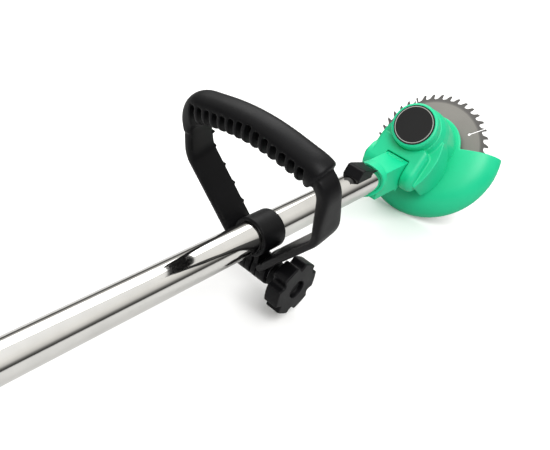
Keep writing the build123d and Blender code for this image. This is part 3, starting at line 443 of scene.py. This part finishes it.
def finer(path, step):
    """Run of points with extra ones, so that no gap is longer than step."""
    fine = [path[0]]
    for p, q in zip(path, path[1:]):
        count = max(1, int((q - p).length / step + 0.999))
        fine += [p.lerp(q, i / count) for i in range(1, count + 1)]
    return fine


def swept(name, path, section, around, place):
    """Sweeps section(distance, angle) -> (out, across) along a path in the Y-Z plane."""
    verts, faces, gone = [], [], 0.0
    for i, p in enumerate(path):
        if i:
            gone += (p - path[i - 1]).length
        ahead = (path[min(i + 1, len(path) - 1)] - path[max(i - 1, 0)]).normalized()
        out = Vector((ahead.y, -ahead.x))
        for j in range(around):
            n, w = section(gone, 2 * pi * j / around)
            verts.append(place @ (Vector((w, p.x + out.x * n, p.y + out.y * n)) * MM))
    for i in range(len(path) - 1):
        for j in range(around):
            k = (j + 1) % around
            faces.append((i * around + j, i * around + k, (i + 1) * around + k, (i + 1) * around + j))
    faces.append(tuple(range(around)))
    faces.append(tuple(range((len(path) - 1) * around, len(path) * around)))
    return solid(name, verts, faces)


def squarish(angle, out, across, power):
    """Point on a rounded rectangle with half sizes out and across."""
    c, s = cos(angle), sin(angle)
    return copysign(out * abs(c) ** power, c), copysign(across * abs(s) ** power, s)


nylon = plastic(
    "black_nylon", (0.0032, 0.0032, 0.0038), (0.03, 0.03, 0.033),
    {"Cloud": 0.9, "Grain Size": 900, "Grain Depth": 0.35, "Roughness": 0.42, "Edge": 0.45},
    Specular_IOR_Level=0.16,
)
LEAN = radians(15.6)
BOLT_BELOW, BOLT_X = 33.0, 599.0
BOLT = Vector((BOLT_X * MM, 0.0, SHAFT_Z - BOLT_BELOW * MM))
LOOP = Matrix.Translation(BOLT) @ Matrix.Rotation(-LEAN, 4, "Y")
HALF, WAIST, SHOULDER, FAR_SHOULDER, PEAK = 61.5, 80.0, 128.0, 123.0, 137.5
clear, rise = 21.95, WAIST - BOLT_BELOW
slope = atan2(rise, HALF) + asin(clear / hypot(rise, HALF))
low = 8.0
foot = HALF - (WAIST - low) / tan(slope)
right_side = [(-HALF, SHOULDER), (-HALF, WAIST), (-foot, low)]
left_side = [(foot, low), (HALF, WAIST), (HALF, FAR_SHOULDER)]
loop_points = left_side + [(0, PEAK)] + right_side
loop_line = finer(rounded_path(loop_points, [18, 20, 150, 17, 18]), 2.0)
total = sum((q - p).length for p, q in zip(loop_line, loop_line[1:]))
LEG_T, LEG_W, GRIP_R = 7.0, 25.0, 11.6


def ease(value):
    t = max(0.0, min(1.0, value))
    return t * t * (3 - 2 * t)


def band_section(gone, angle):
    """Flat band, thicker and wider near the hand bar, thin at the knuckles."""
    side = min(gone, total - gone)
    swell = ease((side - 95) / 35)
    return squarish(angle, LEG_T / 2 + 1.5 * swell, LEG_W / 2 - 4.0 * swell, 0.42)


band = swept("handle_band", loop_line, band_section, 40, LOOP)
reach = [0.0]
for p, q in zip(loop_line, loop_line[1:]):
    reach.append(reach[-1] + (q - p).length)
up_left = [r for p, r in zip(loop_line, reach) if p.x > 0 and p.y <= FAR_SHOULDER - 19]
down_right = [r for p, r in zip(loop_line, reach) if p.x < 0 and p.y >= SHOULDER - 1]
bar_line = [p for p, r in zip(loop_line, reach) if max(up_left) - 1 <= r <= max(down_right)]
bar_line = finer(bar_line, 1.2)
bar_len = sum((q - p).length for p, q in zip(bar_line, bar_line[1:]))


def bar_section(gone, angle):
    """Round hand bar, a little fatter at its left corner, with a rolled edge at each end."""
    roll = sqrt(max(0.0, 1 - (1 - min((bar_len - gone) / 2.2, 1.0)) ** 2))
    radius = (GRIP_R - 1.6) + 1.6 * roll
    grow = ease(gone / 22)
    thick = (LEG_T / 2 + 0.8) * (1 - grow) + radius * grow
    return squarish(angle, thick, radius * 1.03, 0.9 - 0.4 * (1 - grow))


def join(piece, others):
    """Puts other solids into the piece's mesh; softening melts them into one."""
    whole = bmesh.new()
    whole.from_mesh(piece.data)
    for other in others:
        whole.from_mesh(other.data)
        bpy.data.objects.remove(other)
    whole.to_mesh(piece.data)
    whole.free()
    return piece


def across(name, radius, y0, y1, place, x=0.0, z=0.0, steps=48):
    """Round bar along Y, from y0 to y1, in millimetres."""
    lay = place @ Matrix.Translation((x * MM, 0, z * MM)) @ Matrix.Rotation(-pi / 2, 4, "X")
    return solid(name, *turned([(0.001, y0), (radius, y0), (radius, y1), (0.001, y1)], steps, lay))


bar = swept("handle_bar", bar_line, bar_section, 48, LOOP)
KNUCKLE_R = 11.5
knuckles = [across("knuckle", KNUCKLE_R, *sorted((side * 5.9, side * 15.4)), LOOP) for side in (-1, 1)]
join(band, [bar] + knuckles)
soften(band, 0.8, 1)
FINGER_SLOTS, FINGER_PITCH, FINGER_W, FIRST_SLOT = 14, 7.6, 5.0, 53.0
slots = []
for i in range(FINGER_SLOTS):
    y = FIRST_SLOT - i * FINGER_PITCH
    z = PEAK - (PEAK - (FAR_SHOULDER if y > 0 else SHOULDER)) * abs(y) / HALF - 1.0
    ring = [(-16.0, -16.0), (-16.0, 6.6), (-10.0, 6.6), (-6.0, 4.2), (-4.2, 0.0), (-3.4, -6.0), (1.0, -16.0)]
    place = LOOP @ Matrix.Translation((0, y * MM, z * MM)) @ Matrix.Rotation(pi / 2, 4, "X")
    slots.append(prism("slot", ring, -FINGER_W / 2, FINGER_W / 2, place))
slot_set = join(slots[0], slots[1:])
headroom = [(-20, 17.5), (20, 17.5), (20, 30), (-20, 30)]
trim = prism("trim", headroom, -14, 14, LOOP @ Matrix.Rotation(pi / 2, 4, "X"))
cut(band, [slot_set, trim])
RIBS, RIB_R, RIB_PITCH, LOWEST_RIB = 5, 1.1, 13.0, 40.0
ribs = []
for i in range(RIBS):
    z = LOWEST_RIB + i * RIB_PITCH
    y = HALF - max(0.0, (WAIST - z) / tan(slope)) - LEG_T / 2
    ribs.append(across("rib", RIB_R, y - 0.5, y + 4.0, LOOP, LEG_W / 2 - 0.4, z, 12))
join(band, ribs)
soften(band, 0.7, 3, 0.5)
adopt(band, "handle", nylon, ["front_handle", "handle_grip"], 60)


# ---------------------------------------------------------------- shaft clamp
# Split nylon collar round the shaft. Its lug hangs between the handle's two knuckles,
# and one coach bolt through all three draws the collar tight.
def melted(name, node, body, material, voxel, passes, keep=0.6):
    """Moulded piece made from a CAD node, with its corners and joins eased into fillets."""
    piece = bpy.data.objects.new(name, frame["nodes"][node].data.copy())
    weld = bmesh.new()
    weld.from_mesh(piece.data)
    bmesh.ops.remove_doubles(weld, verts=weld.verts, dist=1e-6)
    weld.to_mesh(piece.data)
    weld.free()
    bpy.context.scene.collection.objects.link(piece)
    soften(piece, voxel, passes, keep)
    return adopt(piece, body, material, [node], 70)


def dress(material, *names):
    """Gives CAD nodes that keep their own shape a finish."""
    for name in names:
        frame["nodes"][name].data.materials.clear()
        frame["nodes"][name].data.materials.append(material)


melted("clamp_collar", "clamp_ring", "shaft", nylon, 0.6, 4)
zinc = metal("black_zinc", (0.30, 0.30, 0.31), Roughness=0.34, Haze=0.2, Streak=0.2, Stretch_X=600)
dress(zinc, "clamp_bolt", "bolt_washer", "knob_nut", "guard_screws", "block_screws", "rear_screws")

# ---------------------------------------------------------------- clamp knob
# Six-lobed hand knob in nylon, moulded over a nut, with a round recess in its face.
AT_BOLT = Matrix.Translation(BOLT) @ Matrix.Rotation(pi / 2, 4, "X")
lobes, tip_r, notch_r, notch_lip = 6, 23.4, 18.6, 1.2
flat_tip = [(-19, tip_r), (-8, tip_r - 0.5), (8, tip_r - 0.5), (19, tip_r)]
shallow_notch = [(25, notch_r + notch_lip), (30, notch_r), (35, notch_r + notch_lip)]
star = []
for i in range(lobes):
    middle = 2 * pi * i / lobes
    for turn, radius in flat_tip + shallow_notch:
        a = middle + radians(turn)
        star.append((radius * cos(a), radius * sin(a)))
face_y, back_y, stem_y, tiny = 40.0, 27.0, 17.0, 0.001
knob = prism("clamp_knob_star", star, back_y, face_y, AT_BOLT)
waisted = [(tiny, stem_y), (10.5, stem_y), (9.0, back_y - 3), (11.5, back_y + 1), (tiny, back_y + 1)]
join(knob, [solid("stem", *turned(waisted, 48, AT_BOLT))])
soften(knob, 0.6, 1)
dished = [(tiny, face_y - 4.2), (7.4, face_y - 4.2), (8.0, face_y + 2), (tiny, face_y + 2)]
stepped = [(tiny, stem_y - 2), (3.1, stem_y - 2), (3.1, face_y - 9), (6.0, face_y - 9)]
stepped += [(6.0, face_y - 3), (tiny, face_y - 3)]
recess = solid("recess", *turned(dished, 48, AT_BOLT))
bore = solid("bore", *turned(stepped, 32, AT_BOLT))
cut(knob, [join(recess, [bore])])
soften(knob, 0.5, 4, 0.6)
adopt(knob, "knob", nylon, ["clamp_knob"], 70)

# ---------------------------------------------------------------- hinge block and shaft catch
# Green nylon block clamped on the shaft's end; its knuckle sits between the head's two cheeks.
# Behind it a black wedge slides on the shaft.
green = plastic(
    "green_nylon", (0.006, 0.57, 0.27), (0.03, 0.73, 0.44),
    {"Cloud": 0.10, "Grain Size": 1300, "Grain Depth": 0.10, "Roughness": 0.40, "Edge": 0.5},
    Specular_IOR_Level=0.45,
)
melted("hinge_block_moulding", "hinge_block", "shaft", green, 0.5, 3)
melted("shaft_catch_wedge", "shaft_catch", "catch", nylon, 0.45, 3)

# ---------------------------------------------------------------- motor head
# One green moulding: a barrel round the motor, a roof behind the cap and two hinge cheeks.
# The cap is a separate turned-up moulding that snaps into the barrel's mouth.
melted("head_moulding", "head_shell", "head", green, 0.6, 5)
melted("motor_cap_moulding", "motor_cap", "head", green, 0.45, 3)
melted("tilt_button_cap", "tilt_button", "tilt_button", nylon, 0.4, 3)

# ---------------------------------------------------------------- badge
# Thin black disc let into the cap, with one pale printed ring and nothing else on it.
ink = plastic(
    "badge_ink", (0.006, 0.006, 0.0065), (0.02, 0.02, 0.02),
    {"Cloud": 0.3, "Grain Size": 2500, "Grain Depth": 0.05, "Roughness": 0.36, "Edge": 0.2},
    Specular_IOR_Level=0.30,
)
silver = metal("silver_print", (0.52, 0.54, 0.50), Roughness=0.42, Haze=0.1, Streak=0.1)
dress(ink, "badge")
dress(silver, "badge_ring")

# ---------------------------------------------------------------- blade guard
# Domed green shroud screwed under the barrel; it covers the blade's rear and right side.
melted("guard_moulding", "guard", "head", green, 0.65, 5)

# ---------------------------------------------------------------- blade and spindle
# Circular saw plate, ground in rings, with a dark rim and forty hooked teeth.
AXIS = Vector((0.850, 0.0, SHAFT_Z))
TILT = radians(54.0)


def blade_finish():
    """Ground steel whose grain and tone run in rings round the spindle."""
    made, tree, shader = surface("ground_blade", Metallic=1.0, Roughness=0.42, Anisotropic=0.4)
    link = tree.links.new
    where = add(tree, "ShaderNodeTexCoord").outputs["Object"]
    centred = add(tree, "ShaderNodeVectorMath", operation="SUBTRACT")
    centred.inputs[1].default_value = AXIS
    link(where, centred.inputs[0])
    flat = add(tree, "ShaderNodeVectorRotate", rotation_type="Y_AXIS")
    flat.inputs["Angle"].default_value = TILT
    link(centred.outputs[0], flat.inputs["Vector"])
    split = add(tree, "ShaderNodeSeparateXYZ")
    link(flat.outputs[0], split.inputs[0])
    plane = add(tree, "ShaderNodeCombineXYZ")
    link(split.outputs["X"], plane.inputs["X"])
    link(split.outputs["Y"], plane.inputs["Y"])
    radius = add(tree, "ShaderNodeVectorMath", operation="LENGTH")
    link(plane.outputs[0], radius.inputs[0])
    rings = add(tree, "ShaderNodeTexNoise", noise_dimensions="1D", Scale=2600.0, Detail=3.0)
    link(radius.outputs["Value"], rings.inputs["W"])
    smudge = add(tree, "ShaderNodeTexNoise", Scale=70.0, Detail=4.0)
    link(where, smudge.inputs["Vector"])
    tone = add(tree, "ShaderNodeValToRGB")
    span = add(tree, "ShaderNodeMapRange")
    span.inputs["From Max"].default_value = 0.058
    link(radius.outputs["Value"], span.inputs["Value"])
    link(span.outputs[0], tone.inputs["Fac"])
    stops = tone.color_ramp.elements
    stops[0].color = (0.30, 0.29, 0.27, 1)
    stops[1].color = (0.13, 0.125, 0.12, 1)
    for place, color in ((0.84, (0.31, 0.30, 0.28, 1)), (0.875, (0.17, 0.165, 0.16, 1))):
        stops.new(place).color = color
    blend = add(tree, "ShaderNodeMapRange")
    blend.inputs["To Min"].default_value = 0.82
    blend.inputs["To Max"].default_value = 1.15
    link(rings.outputs["Fac"], blend.inputs["Value"])
    shade = add(tree, "ShaderNodeVectorMath", operation="SCALE")
    link(tone.outputs["Color"], shade.inputs[0])
    link(blend.outputs[0], shade.inputs["Scale"])
    link(shade.outputs[0], shader.inputs["Base Color"])
    rough = add(tree, "ShaderNodeMapRange")
    rough.inputs["To Min"].default_value = 0.34
    rough.inputs["To Max"].default_value = 0.56
    link(smudge.outputs["Fac"], rough.inputs["Value"])
    link(rough.outputs[0], shader.inputs["Roughness"])
    relief = add(tree, "ShaderNodeBump", Strength=0.25, Distance=0.00003)
    link(rings.outputs["Fac"], relief.inputs["Height"])
    link(relief.outputs[0], shader.inputs["Normal"])
    return made


dress(blade_finish(), "blade")
turned_steel = metal(
    "turned_steel", (0.52, 0.52, 0.53), Roughness=0.26, Haze=0.15, Streak=0.35,
    Stretch_X=900, Stretch_Y=900, Stretch_Z=90,
)
dress(turned_steel, "spindle", "inner_flange", "outer_flange", "blade_nut", "hinge_pin", "trigger_pin")

# ---------------------------------------------------------------- motor
# Can motor on its die-cast plate, with shielded bearings; all of it is shut in the barrel.
ground_races = metal("bearing_steel", (0.66, 0.66, 0.67), Roughness=0.16, Haze=0.1, Streak=0.2)
dress(ground_races, "lower_bearing", "upper_bearing")
dress(metal("zinc_can", (0.50, 0.50, 0.50), Roughness=0.33, Haze=0.25, Streak=0.2), "motor_can")
dress(metal("die_casting", (0.56, 0.56, 0.57), Roughness=0.48, Haze=0.2, Streak=0.6), "motor_mount")
dress(metal("magnet_ferrite", (0.10, 0.10, 0.11), Roughness=0.55, Haze=0.1, Streak=0.4), "motor_magnets")
dress(metal("laminations", (0.32, 0.22, 0.15), Roughness=0.42, Haze=0.2, Streak=0.8), "armature")
dress(metal("copper_bars", (0.72, 0.40, 0.24), Roughness=0.28, Haze=0.15, Streak=0.5), "commutator")
carbon = plastic("pressed_carbon", (0.03, 0.03, 0.03), (0.06, 0.06, 0.06), {"Roughness": 0.6, "Cloud": 0.4})
dress(carbon, "motor_brushes")

# ---------------------------------------------------------------- springs and wires
# Bright spring wire, and a red two-core lead through the shaft.
spring = metal("spring_wire", (0.62, 0.62, 0.63), Roughness=0.2, Haze=0.1, Streak=0.3)
dress(spring, "tilt_spring", "trigger_spring", "lock_spring", "latch_spring")
sheath = plastic("red_sheath", (0.30, 0.02, 0.02), (0.4, 0.06, 0.05), {"Roughness": 0.42, "Cloud": 0.3})
dress(sheath, "wire_loom")

# ---------------------------------------------------------------- strap eye
# Nylon band on the shaft with an eye for the shoulder strap's hook.
melted("strap_eye_band", "strap_eye", "shaft", nylon, 0.6, 4)

# ---------------------------------------------------------------- rear handle
# Two black half shells screwed together round the shaft, with a soft skin on the grip.
melted("housing_left", "rear_shell_left", "shaft", nylon, 1.0, 3, 0.5)
melted("housing_right", "rear_shell_right", "shaft", nylon, 1.0, 3, 0.5)
soft = plastic(
    "soft_skin", (0.006, 0.006, 0.0065), (0.02, 0.02, 0.022),
    {"Cloud": 0.5, "Grain Size": 700, "Grain Depth": 0.6, "Roughness": 0.62, "Edge": 0.3},
    Specular_IOR_Level=0.2,
)
dress(soft, "grip_pad")

# ---------------------------------------------------------------- trigger and buttons
# Finger trigger on a cross pin, and a red thumb button on top that frees it.
melted("trigger_lever", "trigger", "trigger", nylon, 0.5, 4)
red = plastic(
    "red_button", (0.42, 0.015, 0.010), (0.6, 0.08, 0.06),
    {"Cloud": 0.2, "Grain Size": 1500, "Grain Depth": 0.1, "Roughness": 0.4, "Edge": 0.4},
)
melted("lock_thumb_button", "lock_button", "lock_button", red, 0.45, 3)

# ---------------------------------------------------------------- control parts
# Switch, soft-start board and contact block inside the housing.
dress(plastic("switch_case", (0.05, 0.05, 0.05), (0.1, 0.1, 0.1), {"Roughness": 0.5}), "power_switch")
board = plastic("board_green", (0.01, 0.13, 0.05), (0.05, 0.2, 0.1), {"Roughness": 0.35, "Cloud": 0.4})
dress(board, "control_board")
dress(metal("contact_brass", (0.70, 0.58, 0.30), Roughness=0.25, Haze=0.15, Streak=0.4), "terminal_block")

# ---------------------------------------------------------------- battery pack
# Two case halves round ten cells; it slides on rails under the rear housing.
melted("battery_case_top", "battery_top", "battery", nylon, 0.9, 3, 0.5)
melted("battery_case_base", "battery_base", "battery", nylon, 0.9, 3, 0.5)
melted("battery_latch_tab", "battery_latch", "latch", red, 0.5, 3)
sleeve = plastic("cell_sleeve", (0.03, 0.12, 0.34), (0.1, 0.2, 0.4), {"Roughness": 0.35, "Cloud": 0.2})
dress(sleeve, "battery_cells")
